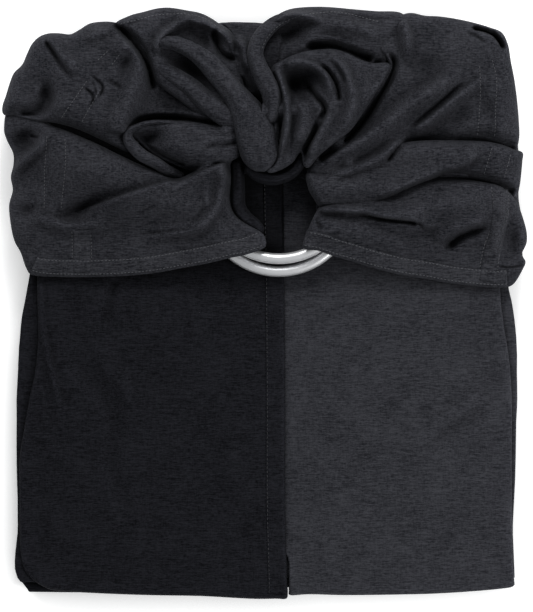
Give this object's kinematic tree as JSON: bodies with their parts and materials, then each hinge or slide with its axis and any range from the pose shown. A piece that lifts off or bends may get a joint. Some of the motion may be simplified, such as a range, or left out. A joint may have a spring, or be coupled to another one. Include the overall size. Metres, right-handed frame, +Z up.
{
  "type": "baby wrap sling",
  "caption": "Stretch-jersey baby wrap sling folded flat, black and charcoal leg panels under a gathered, turned-down yoke with aluminium sling rings.",
  "frame": {"origin": "middle of the underside of the folded sling, on the surface it lies on", "axes": "+Z up, out of the visible face; +Y along the legs towards the edge where the yoke turns over; +X across the legs, towards the charcoal one"},
  "size_m": [0.2912, 0.3293, 0.05],
  "materials": {
    "black_jersey": "matte cotton and elastane jersey, fine horizontal heather streaks",
    "charcoal_jersey": "matte cotton and elastane jersey, fine heather streaks",
    "thread_black": "matte sewing thread",
    "thread_grey": "matte sewing thread, lighter than the cloth",
    "ring_aluminium": "smooth satin polish"
  },
  "bodies": {
    "lower_pack": {"left_leg_lower_folds": "black_jersey", "right_leg_lower_folds": "charcoal_jersey"},
    "upper_pack": {"left_leg_upper_folds": "black_jersey", "right_leg_upper_folds": "charcoal_jersey", "left_leg_cover": "black_jersey", "right_leg_cover": "charcoal_jersey", "left_cover_hem": "black_jersey", "left_cover_hem_thread": "thread_black"},
    "yoke": {"left_flap": "charcoal_jersey", "right_flap": "charcoal_jersey", "left_gather": "charcoal_jersey", "right_gather": "charcoal_jersey", "ring_loop": "charcoal_jersey", "loop_bar_tack": "thread_grey", "left_side_roll": "charcoal_jersey", "right_side_roll": "charcoal_jersey", "yoke_turn": "charcoal_jersey", "left_felled_seam": "charcoal_jersey", "right_felled_seam": "charcoal_jersey", "left_seam_threads": "thread_grey", "right_seam_threads": "thread_grey", "left_flap_hem": "charcoal_jersey", "right_flap_hem": "charcoal_jersey", "left_hem_threads": "thread_grey", "right_hem_threads": "thread_grey"},
    "front_ring": {"front_ring": "ring_aluminium"},
    "rear_ring": {"rear_ring": "ring_aluminium"}
  },
  "joints": [
    {"name": "pack_open", "type": "hinge", "parent": "lower_pack", "child": "upper_pack", "pos_m": [0, -0.1646, 0.00975], "axis": [1, 0, 0], "range_deg": [0, 150]},
    {"name": "yoke_fold", "type": "hinge", "parent": "upper_pack", "child": "yoke", "pos_m": [0, 0.155, 0.0179], "axis": [-1, 0, 0], "range_deg": [0, 110]},
    {"name": "front_ring_turn", "type": "hinge", "parent": "yoke", "child": "front_ring", "pos_m": [0.0074, 0.05808, 0.02623], "axis": [0, -0.0349, 0.9994], "continuous": true},
    {"name": "rear_ring_turn", "type": "hinge", "parent": "yoke", "child": "rear_ring", "pos_m": [0.0074, 0.06475, 0.03486], "axis": [0, -0.1478, 0.989], "continuous": true}
  ]
}
